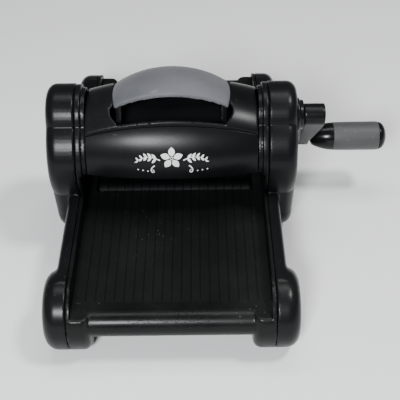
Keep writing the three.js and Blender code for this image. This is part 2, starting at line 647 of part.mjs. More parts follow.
// ---- assembly -----------------------------------------------------------------------------
addPiece(machine, 'base_bed', base(), 'black');
addPiece(machine, 'right_side_cover', sideCover(true), 'black');
addPiece(machine, 'left_side_cover', sideCover(false), 'black').rotation.z = Math.PI;
addPiece(machine, 'right_side_frame', sideFrame(true), 'black');
addPiece(machine, 'left_side_frame', sideFrame(false), 'black').rotation.z = Math.PI;
addPiece(machine, 'top_shell', topShell(), 'black');
addPiece(machine, 'handle_bar', handleBar(), 'black');
addPiece(machine, 'handle_grip_pad', gripPad(), 'softGrey');
addTwins('front_barrel_panel', 'rear_barrel_panel', barrelPanel(), 'black');
addPiece(machine, 'bottom_cover',
  cut(alongZ(roundedRectangle(RAIL_INNER - 0.5, FLOOR_COVER.halfY, 4), FLOOR_COVER.from, FLOOR_COVER.to, 3),
    ...[[-1, -1], [-1, 1], [1, -1], [1, 1]].map(([i, j]) => rodZ(FLOOR_COVER.from - 1,
      FLOOR_COVER.to + 1, SCREW.shankR + GAP, i * FLOOR_SCREW.x, j * FLOOR_SCREW.y, 8))),
  'black');

const footPad = alongZ(roundedRectangle(...PAD_PLAN), 0, PAD_TOP, 3);
for (const [side, x] of [['left', -PAD_X], ['right', PAD_X]]) {
  for (const [end, y] of [['front', -FOOT_Y], ['rear', FOOT_Y]]) {
    addPiece(machine, `${end}_${side}_foot_pad`, footPad, 'rubber', [x, y, 0]);
  }
}

for (const [level, z] of [['upper', UPPER_Z], ['lower', LOWER_Z]]) {
  const half = level === 'upper' ? UPPER_HALF : LOWER_HALF;
  addPiece(machine, `${level}_roller`, roller(half), 'blackenedSteel', [0, 0, z]);
  addPiece(machine, `${level}_roller_gear`, gear(ROLLER_TEETH, BORE_R), 'blackenedSteel', [0, 0, z]);
  addPiece(machine, `${level}_right_bush`, bush(), 'bronze', [0, 0, z]);
  addPiece(machine, `${level}_left_bush`, bush(), 'bronze', [0, 0, z]).rotation.z = Math.PI;
  addPiece(machine, `${level}_right_ring`, retainingRing(), 'blackenedSteel',
    [RIGHT_GROOVE + GAP, 0, z]);
  addPiece(machine, `${level}_left_ring`, retainingRing(), 'blackenedSteel',
    [LEFT_GROOVE + GAP, 0, z]);
}
addPiece(machine, 'crank_bush', bush(), 'bronze', [0, 0, CRANK_Z]);
addPiece(machine, 'crank_collar', crankCollar(), 'glossBlack', [0, 0, CRANK_Z]);

const rodEnd = RAIL_INNER - GAP;
for (const [end, y] of [['front', -TIE_ROD.y], ['rear', TIE_ROD.y]]) {
  const rod = rodX(-rodEnd, rodEnd, TIE_ROD.r, 0, 0, 20);
  const drilled = cut(rod, rodX(-rodEnd - 1, ROD_SCREW - rodEnd, SCREW.shankR + GAP, 0, 0, 8),
    rodX(rodEnd - ROD_SCREW, rodEnd + 1, SCREW.shankR + GAP, 0, 0, 8));
  addPiece(machine, `${end}_tie_rod`, drilled, 'steel', [0, y, TIE_ROD.z]);
  for (const [side, turn] of [['right', 0], ['left', Math.PI]]) {
    const x = (side === 'right' ? 1 : -1) * COVER_SEAM;
    addPiece(machine, `${end}_${side}_rod_screw`, screw(ROD_SCREW), 'steel', [x, y, TIE_ROD.z])
      .rotation.z = turn;
  }
}

const coverScrews = [
  ['lower_front', ...COVER_SCREWS[0], HALF_WIDTH], ['lower_rear', ...COVER_SCREWS[1], HALF_WIDTH],
  ['top', ...COVER_SCREWS[2], HALF_WIDTH], ['front_foot', -FOOT_Y, FOOT_R, FOOT_OUTER],
  ['rear_foot', FOOT_Y, FOOT_R, FOOT_OUTER],
];
for (const [place, y, z, face] of coverScrews) {
  const seat = face - SCREW_SUNK + GAP;
  const length = seat - RAIL_INNER + (place.endsWith('foot') ? 8 : 0);
  addPiece(machine, `right_${place}_screw`, screw(length), 'blackenedSteel', [seat, y, z]);
  addPiece(machine, `left_${place}_screw`, screw(length), 'blackenedSteel', [-seat, y, z])
    .rotation.z = Math.PI;
}

for (const [side, x] of [['left', -FLOOR_SCREW.x], ['right', FLOOR_SCREW.x]]) {
  for (const [end, y] of [['front', -FLOOR_SCREW.y], ['rear', FLOOR_SCREW.y]]) {
    addPiece(machine, `${end}_${side}_floor_screw`, screw(SHORT_SCREW), 'blackenedSteel',
      [x, y, FLOOR_COVER.from - GAP])
      .rotation.y = Math.PI / 2;
  }
}

for (const [side, x] of [['left', -LEG_X], ['right', LEG_X]]) {
  addPiece(machine, `${side}_handle_screw`, screw(SHORT_SCREW), 'blackenedSteel', [x, 0, SHELL_FLOOR - GAP])
    .rotation.y = Math.PI / 2;
}

// the crank hangs back and down from its shaft, with its knob free to turn on a spindle
const crank = new THREE.Group();
crank.position.set(0, 0, CRANK_Z);
crank.rotation.x = radians(ARM_REST);
machine.add(crank);
addPiece(machine, 'crank_shaft', crankShaft(), 'steel', [0, 0, CRANK_Z]);
addPiece(machine, 'crank_pinion', gear(PINION_TEETH, BORE_R), 'blackenedSteel', [0, 0, CRANK_Z]);
addPiece(machine, 'crank_shaft_ring', retainingRing(), 'blackenedSteel',
  [SHAFT_GROOVE + GAP, 0, CRANK_Z]);
addPiece(crank, 'crank_arm', crankArm(), 'black');
addPiece(crank, 'crank_cap_screw', crankCap(), 'glossBlack');
addPiece(crank, 'knob_spindle', knobSpindle(), 'steel', [0, ARM_LENGTH, 0]);
addPiece(crank, 'knob_cone', knobCone(), 'glossBlack', [0, ARM_LENGTH, 0]);
addPiece(crank, 'knob_grip', knobGrip(), 'sleeveGrey', [0, ARM_LENGTH, 0]);
addPiece(crank, 'knob_end_cap', knobCap(), 'glossBlack', [0, ARM_LENGTH, 0]);

// the origin is on the floor, at the middle of the space that the machine and its crank take
machine.position.x = -(KNOB_TO - HALF_WIDTH) / 2;
machine.updateMatrixWorld(true);

export default machine;
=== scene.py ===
import json
import math

import bmesh
import bpy
import numpy as np
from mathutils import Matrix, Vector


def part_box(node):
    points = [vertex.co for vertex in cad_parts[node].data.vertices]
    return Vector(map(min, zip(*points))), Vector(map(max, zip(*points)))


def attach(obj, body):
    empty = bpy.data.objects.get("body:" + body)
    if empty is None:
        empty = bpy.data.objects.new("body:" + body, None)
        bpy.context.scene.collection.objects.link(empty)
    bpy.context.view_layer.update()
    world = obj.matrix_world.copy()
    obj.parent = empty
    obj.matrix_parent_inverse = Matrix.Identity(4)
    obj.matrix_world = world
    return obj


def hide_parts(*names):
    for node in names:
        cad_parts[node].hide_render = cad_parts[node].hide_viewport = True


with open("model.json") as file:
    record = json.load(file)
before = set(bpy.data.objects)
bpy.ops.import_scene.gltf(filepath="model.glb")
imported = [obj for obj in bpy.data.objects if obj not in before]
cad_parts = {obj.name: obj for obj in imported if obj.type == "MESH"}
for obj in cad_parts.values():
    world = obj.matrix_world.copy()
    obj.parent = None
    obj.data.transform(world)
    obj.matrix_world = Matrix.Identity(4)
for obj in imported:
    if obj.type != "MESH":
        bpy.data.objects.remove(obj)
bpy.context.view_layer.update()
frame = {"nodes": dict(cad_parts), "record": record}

import openvdb as vdb
from mathutils import Matrix, Vector

# ---- places, from the frame ----------------------------------------------------------------------


def middle(node, axis):
    low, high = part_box(node)
    return (low[axis] + high[axis]) / 2


def extent(node):
    """Lowest and highest corner of a CAD node, in mm about the body's centre line."""
    low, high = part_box(node)
    return (np.array(low) - ORIGIN) * 1000, (np.array(high) - ORIGIN) * 1000


ORIGIN = np.array([middle("base_bed", 0), 0.0, 0.0])
BODY = "machine_body"

(_, FRONT, _), (_, REAR, _) = extent("base_bed")
RAIL_TOP = extent("base_bed")[1][2]
SEAM = extent("right_side_cover")[0][0]
HALF_WIDTH = extent("right_side_cover")[1][0]
COVER_TOP = extent("right_side_cover")[1][2]
CRANK_Z = middle("crank_shaft", 2) * 1000
UPPER_Z = middle("upper_roller", 2) * 1000
LOWER_Z = middle("lower_roller", 2) * 1000
HANDLE_TOP = extent("handle_grip_pad")[1][2]
SHELL_END = extent("top_shell")[1][0]
SHELL_HALF = extent("top_shell")[1][1]
SHELL_FLOOR = extent("top_shell")[0][2]

# ---- driving dimensions of the fine shapes, mm ---------------------------------------------------
BED_TOP = 50.0
RAIL_INNER = 81.0
RAIL_OUTER = 95.0
SKIRT_BOTTOM = 8.0
FOOT_R = 33.1
FOOT_Y = REAR - FOOT_R
FOOT_OUTER = 104.5
FOOT_INNER = 66.3
FOOT_FLAT = 1.2
BLOCK_ROUND, DRUM_ROUND, RAIL_ROUND = 7.0, 11.0, 5.5
COVER_ROUND = 9.0
POCKET_R, POCKET_DEPTH = 4.3, 6.0
CROWN = (125.9, 27.9)
LOBE = (92.0, 48.0)
BOWL = (38.0, 34.0)
CREST, CREST_R = 155.1, 250.0
SHELL_CROWN_R = 47.1
SHELL_DROP = SHELL_CROWN_R - math.sqrt(SHELL_CROWN_R ** 2 - SHELL_HALF ** 2)
HANDLE_R = 83.0
PAD_CROWN_R = 40.0
PAD_HALF, PAD_THICK = 22.0, 3.4
BAR_HALF = 24.0
BAR_DEPTH = 19.5
LEG_INNER, LEG_OUTER = 43.0, 51.4
PAD_HALF_X, PAD_END_CURVE, PAD_SIDE_CURVE = 51.4, 3.6, 4.0
OPENING_LIP, OPENING_WIDEST, OPENING_MIDDLE = 44.0, 52.7, 50.0
LIP_Y, WIDEST_Y, CORNER_Y = 34.2, 20.8, 15.5
BARREL_Z, BARREL_MID_R, BARREL_END_R, BARREL_BOTTOM = 97.5, 52.0, 45.0, 92.5
BARREL_WALL = 3.0
BED_END = FOOT_Y + 7
GROOVE_PITCH, GROOVES_EACH_SIDE = 7.8, 9
GROOVE_MOUTH, GROOVE_FLOOR, GROOVE_DEPTH = 0.5, 0.2, 0.5
ROLLER_SLOT = (73.0, 17.0)
ROLL_R = 12.0
ROLL_Y = FOOT_Y + 18
NOSE_END = FOOT_INNER + 3.4
RING_INNER, RING_GROOVE, RING_FLANGE = 79.2, 3.0, 7.5
JOURNAL_HOLE_R = 9.3
COVER_SCREWS = ((-27.0, 60.0), (27.0, 60.0), (0.0, 143.2))
FOOT_SCREWS = ((-FOOT_Y, FOOT_R), (FOOT_Y, FOOT_R))
SCREW_HEAD = 2.4

# ---- mesh helpers --------------------------------------------------------------------------------


def mesh_object(name, points, faces, sharp=40):
    """An object from points in mm about the centre line; edges over `sharp` degrees stay crisp."""
    mesh = bpy.data.meshes.new(name)
    placed = np.asarray(points, float) * 0.001 + ORIGIN
    mesh.from_pydata(placed.tolist(), [], [tuple(int(i) for i in f) for f in faces])
    mesh.validate()
    work = bmesh.new()
    work.from_mesh(mesh)
    bmesh.ops.remove_doubles(work, verts=work.verts, dist=1e-7)
    bmesh.ops.recalc_face_normals(work, faces=work.faces)
    work.to_mesh(mesh)
    work.free()
    mesh.shade_smooth()
    mesh.set_sharp_from_angle(angle=math.radians(sharp))
    piece = bpy.data.objects.new(name, mesh)
    bpy.context.scene.collection.objects.link(piece)
    return piece


def dress(piece, body, material, slot, *nodes):
    """Gives a piece its material and body and hides the CAD nodes that it stands for; slot is not used.
    """
    piece.data.materials.clear()
    piece.data.materials.append(material)
    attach(piece, body)
    if nodes:
        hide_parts(*nodes)
    return piece


def turned(name, profile, centre, segments=72, sharp=35):
    """(x, radius) pairs turned about a line along X through centre (y, z)."""
    y0, z0 = centre
    points, faces = [], []
    for x, radius in profile:
        for i in range(segments):
            a = 2 * math.pi * i / segments
            points.append((x, y0 + radius * math.cos(a), z0 + radius * math.sin(a)))
    rings = len(profile)
    for ring in range(rings - 1):
        for i in range(segments):
            a, b = ring * segments + i, ring * segments + (i + 1) % segments
            faces.append((a, b, b + segments, a + segments))
    if profile[0] != profile[-1]:
        faces.append(tuple(range(segments)))
        faces.append(tuple((rings - 1) * segments + i for i in range(segments)))
    return mesh_object(name, points, faces, sharp)


def rounded(corners, radius, steps=4):
    """The same (x, r) outline with each inner corner cut by an arc of about `radius`."""
    out = [corners[0]]
    for before, corner, after in zip(corners, corners[1:], corners[2:]):
        c, a, b = np.array(corner), np.array(before), np.array(after)
        u, v = a - c, b - c
        reach = min(radius, 0.45 * np.linalg.norm(u), 0.45 * np.linalg.norm(v))
        p, q = c + u / np.linalg.norm(u) * reach, c + v / np.linalg.norm(v) * reach
        for i in range(steps + 1):
            t = i / steps
            out.append(tuple((1 - t) ** 2 * p + 2 * t * (1 - t) * c + t * t * q))
    return out + [corners[-1]]


def grid_faces(columns, rows, offset=0):
    faces = []
    for i in range(columns - 1):
        for j in range(rows - 1):
            a = offset + i * rows + j
            faces.append((a, a + rows, a + rows + 1, a + 1))
    return faces


def thick_sheet(name, outer, inner, sharp=40):
    """A closed plate between two grids of points, each an array of columns by rows by 3."""
    columns, rows = outer.shape[:2]
    points = np.concatenate([outer.reshape(-1, 3), inner.reshape(-1, 3)])
    half = columns * rows
    faces = grid_faces(columns, rows) + [f[::-1] for f in grid_faces(columns, rows, half)]
    rim = [i * rows for i in range(columns)]
    rim += [(columns - 1) * rows + j for j in range(1, rows)]
    rim += [i * rows + rows - 1 for i in range(columns - 2, -1, -1)]
    rim += list(range(rows - 2, 0, -1))
    for a, b in zip(rim, rim[1:] + rim[:1]):
        faces.append((a, b, b + half, a + half))
    return mesh_object(name, points, faces, sharp)


def bevelled(piece, width, segments=3):
    modifier = piece.modifiers.new("edge rounding", "BEVEL")
    modifier.width = width * 0.001
    modifier.segments = segments
    modifier.limit_method = "ANGLE"
    modifier.angle_limit = math.radians(40)
    modifier.harden_normals = False
    return piece

# ---- rounded solids from distances ---------------------------------------------------------------


def circle_points(z, radius, start, end, steps):
    return [(radius * math.cos(math.radians(a)), z + radius * math.sin(math.radians(a)))
            for a in np.linspace(start, end, steps)]


def housing_outline(inset=0.0):
    """The housing's side outline in Y, Z: an upper lobe, a crease, the main lobe and a round bottom."""
    crown_end, crease, waist, bowl = 11.5, 55.3, -33, -5
    return (circle_points(CROWN[0], CROWN[1] - inset, crown_end, 180 - crown_end, 24)
            + circle_points(LOBE[0], LOBE[1] - inset, 180 - crease, 180 - waist, 22)
            + circle_points(BOWL[0], BOWL[1] - inset, 180 - bowl, 360 + bowl, 26)
            + circle_points(LOBE[0], LOBE[1] - inset, waist, crease, 22))


def outline_distance(outline, u, v):
    """Signed distance in a plane from a closed outline, negative inside."""
    nearest = np.full(u.shape, np.inf)
    inside = np.zeros(u.shape, bool)
    for (ax, ay), (bx, by) in zip(outline, outline[1:] + outline[:1]):
        ex, ey = bx - ax, by - ay
        px, py = u - ax, v - ay
        t = np.clip((px * ex + py * ey) / (ex * ex + ey * ey), 0, 1)
        nearest = np.minimum(nearest, (px - t * ex) ** 2 + (py - t * ey) ** 2)
        if ay != by:
            inside ^= ((ay > v) != (by > v)) & (u < ex * py / ey + ax)
    distance = np.sqrt(nearest)
    return np.where(inside, -distance, distance)


def drawn_out(plane, along, start, end, edge):
    """A plane distance drawn out between two ends, with its end edges rounded."""
    a = plane + edge
    b = np.abs(along - (start + end) / 2) - (end - start) / 2 + edge
    return np.minimum(np.maximum(a, b), 0) + np.hypot(np.maximum(a, 0), np.maximum(b, 0)) - edge


def box_distance(p, low, high, edge):
    low, high = np.array(low, float), np.array(high, float)
    q = np.abs(p - (low + high) / 2) - (high - low) / 2 + edge
    outside = np.sqrt((np.maximum(q, 0) ** 2).sum(-1))
    return outside + np.minimum(q.max(-1), 0) - edge


def blend_min(a, b, k):
    h = np.clip(0.5 + 0.5 * (b - a) / k, 0, 1)
    return b + (a - b) * h - k * h * (1 - h)


def blend_max(a, b, k):
    return -blend_min(-a, -b, k)


def sculpted(name, distance, low, high, cell, sharp=50, mirror=False):
    """The surface where distance(points) is 0, as quads set exactly on it."""
    low, high = np.array(low, float) - 3 * cell, np.array(high, float) + 3 * cell
    counts = np.ceil((high - low) / cell).astype(int) + 1
    axes = [low[i] + cell * np.arange(counts[i]) for i in range(3)]
    values = np.empty(counts, np.float32)
    plane = np.stack(np.meshgrid(axes[1], axes[2], indexing="ij"), -1).reshape(-1, 2)
    for i, x in enumerate(axes[0]):
        slab = np.column_stack([np.full(len(plane), x), plane])
        values[i] = distance(slab).reshape(counts[1], counts[2])
    grid = vdb.FloatGrid(3 * cell)
    grid.copyFromArray(np.clip(values, -3 * cell, 3 * cell))
    points, quads = grid.convertToQuads(0)
    points = np.asarray(points, float) * cell + low
    nudge = 0.02
    for _ in range(2):
        here = distance(points)
        slope = np.stack([
            (distance(points + nudge * np.eye(3)[k]) - here) / nudge for k in range(3)], -1)
        size = np.maximum((slope ** 2).sum(-1), 0.25)
        step = np.clip(here / size, -cell, cell)
        points = points - step[:, None] * slope
    if mirror:
        points = points * (-1, 1, 1)
    return mesh_object(name, points, quads, sharp)

# ---- materials -----------------------------------------------------------------------------------


class Nodes:
    """A small builder of shader nodes in object coordinates."""

    def __init__(self, name):
        self.material = bpy.data.materials.new(name)
        self.material.use_nodes = True
        self.tree = self.material.node_tree
        self.shader = self.tree.nodes["Principled BSDF"]
        self.place = self.tree.nodes.new("ShaderNodeTexCoord").outputs["Object"]

    def add(self, kind, **settings):
        node = self.tree.nodes.new("ShaderNode" + kind)
        for key, value in settings.items():
            if hasattr(node, key):
                setattr(node, key, value)
            else:
                node.inputs[key.replace("_", " ")].default_value = value
        return node

    def link(self, source, target):
        self.tree.links.new(source, target)

    def noise(self, scale, detail=4.0, roughness=0.55, stretch=None):
        node = self.add("TexNoise")
        node.inputs["Scale"].default_value = scale
        node.inputs["Detail"].default_value = detail
        node.inputs["Roughness"].default_value = roughness
        self.link(self.stretched(stretch), node.inputs["Vector"])
        return node.outputs["Fac"]

    def stretched(self, stretch):
        if stretch is None:
            return self.place
        mapping = self.add("Mapping")
        mapping.inputs["Scale"].default_value = stretch
        self.link(self.place, mapping.inputs["Vector"])
        return mapping.outputs["Vector"]

    def cells(self, scale, feature="F1", stretch=None):
        node = self.add("TexVoronoi", feature=feature)
        node.inputs["Scale"].default_value = scale
        self.link(self.stretched(stretch), node.inputs["Vector"])
        return node.outputs["Distance"]

    def ramp(self, value, low, high, start=0.0, end=1.0):
        node = self.add("MapRange")
        node.inputs["From Min"].default_value = low
        node.inputs["From Max"].default_value = high
        node.inputs["To Min"].default_value = start
        node.inputs["To Max"].default_value = end
        self.link(value, node.inputs["Value"])
        return node.outputs["Result"]

    def math(self, operation, a, b):
        node = self.add("Math", operation=operation)
        for value, socket in ((a, node.inputs[0]), (b, node.inputs[1])):
            if isinstance(value, (int, float)):
                socket.default_value = value
            else:
                self.link(value, socket)
        return node.outputs[0]

    def mix(self, factor, a, b):
        node = self.add("Mix", data_type="RGBA")
        self.link(factor, node.inputs["Factor"])
        for value, socket in ((a, node.inputs[6]), (b, node.inputs[7])):
            if isinstance(value, tuple):
                socket.default_value = (*value, 1)
            else:
                self.link(value, socket)
        return node.outputs[2]

    def bump(self, height, strength, distance):
        node = self.add("Bump")
        node.inputs["Strength"].default_value = strength
        node.inputs["Distance"].default_value = distance
        self.link(height, node.inputs["Height"])
        self.link(node.outputs["Normal"], self.shader.inputs["Normal"])


def upward(nodes):
    """1 on faces that look up, where dust settles, falling to 0 on the sides."""
    normal = nodes.add("NewGeometry").outputs["Normal"]
    split = nodes.add("SeparateXYZ")
    nodes.link(normal, split.inputs[0])
    return nodes.ramp(split.outputs["Z"], 0.05, 0.8)


def moulded_plastic(name, base, roughness, grain=0.35, dust=0.5, coat=0.0, sheen=0.16, beads=0.6):
    """Injection-moulded plastic: fine spark-eroded grain, faint smears, beads and settled dust."""
    n = Nodes(name)
    smear = n.noise(14, 3, 0.6, (1, 0.35, 1))
    fine = n.noise(900, 2, 0.5)
    speck = n.ramp(n.cells(260), 0.13, 0.06)
    patchy = n.ramp(n.noise(22, 4, 0.65), 0.5, 0.72)
    settled = n.math("MULTIPLY", n.math("MULTIPLY", speck, patchy), upward(n))
    dusty = n.math("MULTIPLY", settled, dust)
    film = n.math("MULTIPLY", n.ramp(n.noise(9, 5, 0.6), 0.42, 0.75), 0.05 * dust)
    shade = n.mix(n.ramp(smear, 0.3, 0.7), base, tuple(1.35 * c for c in base))
    pale = (0.24, 0.235, 0.225)
    filmed = n.mix(n.math("MULTIPLY", film, upward(n)), shade, pale)
    n.link(n.mix(dusty, filmed, pale), n.shader.inputs["Base Color"])
    rough = n.ramp(smear, 0.25, 0.75, roughness - 0.05, roughness + 0.06)
    n.link(n.math("ADD", rough, n.math("MULTIPLY", dusty, 0.4)), n.shader.inputs["Roughness"])
    n.shader.inputs["Specular IOR Level"].default_value = sheen
    n.shader.inputs["Coat Weight"].default_value = coat
    n.shader.inputs["Coat Roughness"].default_value = 0.12
    bead = n.math("MULTIPLY", n.ramp(n.cells(620), 0.3, 0.1), n.ramp(n.noise(30, 3, 0.6), 0.45, 0.6))
    raised = n.math("MULTIPLY", n.math("MULTIPLY", bead, upward(n)), 3.0 * beads)
    height = n.math("ADD", n.math("ADD", fine, n.math("MULTIPLY", settled, 1.5)), raised)
    n.bump(height, grain, 0.00006)
    return n.material


def soft_touch(name, base, roughness):
    """Soft-touch elastomer: matt, a little mottled, with a few fine pale scratches."""
    n = Nodes(name)
    mottle = n.noise(35, 5, 0.6)
    fine = n.noise(1400, 2, 0.5)
    scratch = n.ramp(n.cells(26, "DISTANCE_TO_EDGE", (0.35, 1.6, 1)), 0.012, 0.004)
    sparse = n.ramp(n.noise(17, 2, 0.5), 0.6, 0.68)
    worn = n.math("MULTIPLY", scratch, sparse)
    dark, light = (tuple(share * c for c in base) for share in (0.88, 1.12))
    shade = n.mix(n.ramp(mottle, 0.3, 0.7), dark, light)
    speck = n.math("MULTIPLY", n.ramp(n.cells(190), 0.1, 0.05), 0.35)
    marked = n.math("MAXIMUM", n.math("MULTIPLY", worn, 0.55), n.math("MULTIPLY", speck, upward(n)))
    n.link(n.mix(marked, shade, (0.42, 0.42, 0.43)), n.shader.inputs["Base Color"])
    n.link(n.ramp(mottle, 0.3, 0.7, roughness - 0.06, roughness + 0.05), n.shader.inputs["Roughness"])
    n.shader.inputs["Sheen Weight"].default_value = 0.15
    n.shader.inputs["Sheen Roughness"].default_value = 0.5
    n.bump(n.math("ADD", fine, n.math("MULTIPLY", worn, -2.0)), 0.3, 0.00005)
    return n.material


def metal(name, base, roughness, stretch=(1, 60, 60)):
    """Turned or ground metal with fine tool marks round its axis and light staining."""
    n = Nodes(name)
    marks = n.noise(160, 3, 0.6, stretch)
    stain = n.noise(40, 4, 0.6)
    stained = n.mix(n.ramp(stain, 0.35, 0.7), base, tuple(0.72 * c for c in base))
    n.link(stained, n.shader.inputs["Base Color"])
    n.shader.inputs["Metallic"].default_value = 1.0
    n.link(n.ramp(marks, 0.3, 0.7, roughness - 0.07, roughness + 0.1), n.shader.inputs["Roughness"])
    n.bump(marks, 0.15, 0.00004)
    return n.material


def rubber(name, base):
    n = Nodes(name)
    grain = n.noise(500, 3, 0.6)
    mottled = n.mix(n.ramp(grain, 0.3, 0.7), base, tuple(1.6 * c for c in base))
    n.link(mottled, n.shader.inputs["Base Color"])
    n.link(n.ramp(grain, 0.3, 0.7, 0.75, 0.92), n.shader.inputs["Roughness"])
    n.bump(grain, 0.4, 0.0001)
    return n.material


def print_ink(name, base):
    """Pad-printed ink: nearly flat white, slightly worn through."""
    n = Nodes(name)
    worn = n.ramp(n.noise(420, 4, 0.7), 0.62, 0.72)
    n.link(n.mix(worn, base, tuple(0.55 * c for c in base)), n.shader.inputs["Base Color"])
    n.link(n.ramp(worn, 0, 1, 0.45, 0.6), n.shader.inputs["Roughness"])
    n.bump(n.noise(900, 2, 0.5), 0.2, 0.00003)
    return n.material


BLACK = moulded_plastic("black moulded plastic", (0.0025, 0.0029, 0.0033), 0.29)
BASE_BLACK = moulded_plastic("base plastic", (0.0025, 0.0028, 0.0028), 0.29, 0.55, 0.8, beads=5.0)
BED_BLACK = moulded_plastic("bed plastic", (0.003, 0.0034, 0.0032), 0.4, 0.5, 0.45)
GLOSS = moulded_plastic("gloss black plastic", (0.003, 0.003, 0.0034), 0.24, 0.12, 0.3, 0.04, 0.2)
GRIP = soft_touch("grip grey", (0.082, 0.084, 0.094), 0.62)
SLEEVE = soft_touch("sleeve grey", (0.042, 0.042, 0.043), 0.6)
RUBBER = rubber("foot rubber", (0.012, 0.012, 0.012))
STEEL = metal("ground steel", (0.52, 0.53, 0.54), 0.28)
DARK_STEEL = metal("blackened steel", (0.07, 0.07, 0.074), 0.36, (1, 8, 8))
# Painted shade: the rollers sit in shadow under the shell, and their steel gets a near-black colour
# that stands in for that shade.
ROLLER_PAINTED_SHADE = metal("roller darkened as painted shade", (0.011, 0.012, 0.012), 0.5, (1, 8, 8))
BRONZE = metal("sintered bronze", (0.42, 0.27, 0.12), 0.42, (1, 1, 1))
INK = print_ink("white ink", (0.72, 0.72, 0.7))
SLOT_MATERIALS = {
    "black_plastic": BLACK, "gloss_black": GLOSS, "grip_grey": GRIP, "sleeve_grey": SLEEVE,
    "foot_rubber": RUBBER, "bright_steel": STEEL, "dark_steel": DARK_STEEL, "bush_bronze": BRONZE,
}


def dress_frame():
    """Every CAD node that stays visible takes its slot's material."""
    slots = {entry["node"]: entry["material_slot"] for entry in frame["record"]["subparts"]}
    for node, piece in frame["nodes"].items():
        piece.data.materials.clear()
        piece.data.materials.append(SLOT_MATERIALS[slots[node]])
        piece.data.shade_smooth()
        piece.data.set_sharp_from_angle(angle=math.radians(32))

# ---- side covers ---------------------------------------------------------------------------------


def side_cover_distance(p):
    x, y, z = p[:, 0], p[:, 1], p[:, 2]
    inner = SEAM - 30
    house = drawn_out(outline_distance(housing_outline(), y, z), x, inner, HALF_WIDTH, COVER_ROUND)
    section = box_distance(np.column_stack([x, z]), (inner, SKIRT_BOTTOM), (RAIL_OUTER, RAIL_TOP),
                           RAIL_ROUND)
    rail = np.maximum(section, np.abs(y) - FOOT_Y)
    disc = np.hypot(np.abs(y) - FOOT_Y, z - FOOT_R) - FOOT_R
    drum = drawn_out(disc, x, inner, FOOT_OUTER, DRUM_ROUND)
    solid = blend_min(blend_min(rail, drum, 3.0), house, 1.6)
    for face, places in ((HALF_WIDTH, COVER_SCREWS), (FOOT_OUTER, FOOT_SCREWS)):
        for sy, sz in places:
            pocket = np.maximum(np.hypot(y - sy, z - sz) - POCKET_R, face - POCKET_DEPTH - x)
            solid = blend_max(solid, -pocket, 0.8)
    solid = blend_max(solid, SEAM - x, 1.2)
    return np.maximum(solid, FOOT_FLAT - z)


def side_covers():
    low, high = (SEAM, FRONT, FOOT_FLAT), (HALF_WIDTH, REAR, COVER_TOP)
    for side, mirror in (("right", False), ("left", True)):
        piece = sculpted(f"{side}_cover_shell", side_cover_distance, low, high, 1.3, 60, mirror)
        dress(piece, BODY, BLACK, "black_plastic", f"{side}_side_cover")

# ---- side frames: the ring and groove between cover and centre shell -----------------------------


def side_frame_distance(p):
    x, y, z = p[:, 0], p[:, 1], p[:, 2]
    edge = outline_distance(housing_outline(0.8), y, z)
    outer = SEAM - 0.3
    plate = drawn_out(edge, x, RAIL_INNER, outer, 0.8)
    ring = drawn_out(edge, x, RING_INNER, outer, 0.8)
    groove = drawn_out(edge + RING_GROOVE, x, SHELL_END + 0.5, outer - 1, 0.5)
    band = np.maximum(np.minimum(ring, groove), BARREL_BOTTOM - 0.5 - z)
    band = np.maximum(band, -np.maximum(edge + RING_FLANGE, x - RAIL_INNER))
    solid = np.minimum(plate, band)
    for journal in (LOWER_Z, UPPER_Z):
        solid = np.maximum(solid, JOURNAL_HOLE_R - np.hypot(y, z - journal))
    return solid


def side_frames():
    low, high = (SHELL_END, -48, 3), (SEAM, 48, COVER_TOP)
    for side, mirror in (("right", False), ("left", True)):
        piece = sculpted(f"{side}_frame_plate", side_frame_distance, low, high, 0.9, 50, mirror)
        dress(piece, BODY, BLACK, "black_plastic", f"{side}_side_frame")

# ---- base: grooved bed, rail walls, foot blocks and rolled lips ----------------------------------


def base_distance(p):
    x, y, z = np.abs(p[:, 0]), np.abs(p[:, 1]), p[:, 2]
    outer = SEAM - 0.3
    folded = np.column_stack([x, y, z])
    wall = box_distance(folded, (RAIL_INNER, -200, SKIRT_BOTTOM), (outer, FOOT_Y, RAIL_TOP), 0.7)
    wall = np.maximum(wall, -outline_distance(housing_outline(-0.3), y, z))
    drum_plane = np.hypot(y - FOOT_Y, z - FOOT_R) - FOOT_R
    block = drawn_out(drum_plane, x, FOOT_INNER, outer + 12, BLOCK_ROUND)
    block = blend_max(block, z - np.where(x > RAIL_INNER, 2 * RAIL_TOP, BED_TOP), 1.2)
    block = np.maximum(block, x - outer)
    cheek = np.maximum(drawn_out(drum_plane, x, RAIL_INNER, outer, 0.7), z - RAIL_TOP)
    foot = np.minimum(block, cheek)
    lip = np.hypot(y - ROLL_Y, z - BED_TOP + ROLL_R) - ROLL_R
    web = box_distance(np.column_stack([y, z]), (FOOT_Y + 6, BED_TOP - 2 * ROLL_R),
                       (ROLL_Y, BED_TOP), 0.5)
    nose = drawn_out(blend_min(lip, web, 0.5), x, -NOSE_END, NOSE_END, 1.5)
    solid = np.minimum(np.minimum(wall, foot), nose)
    under_bed = np.maximum(np.maximum(x - RAIL_INNER, y - BED_END), BED_TOP - 2 - z)
    return np.maximum(np.maximum(solid, -under_bed), FOOT_FLAT - z)


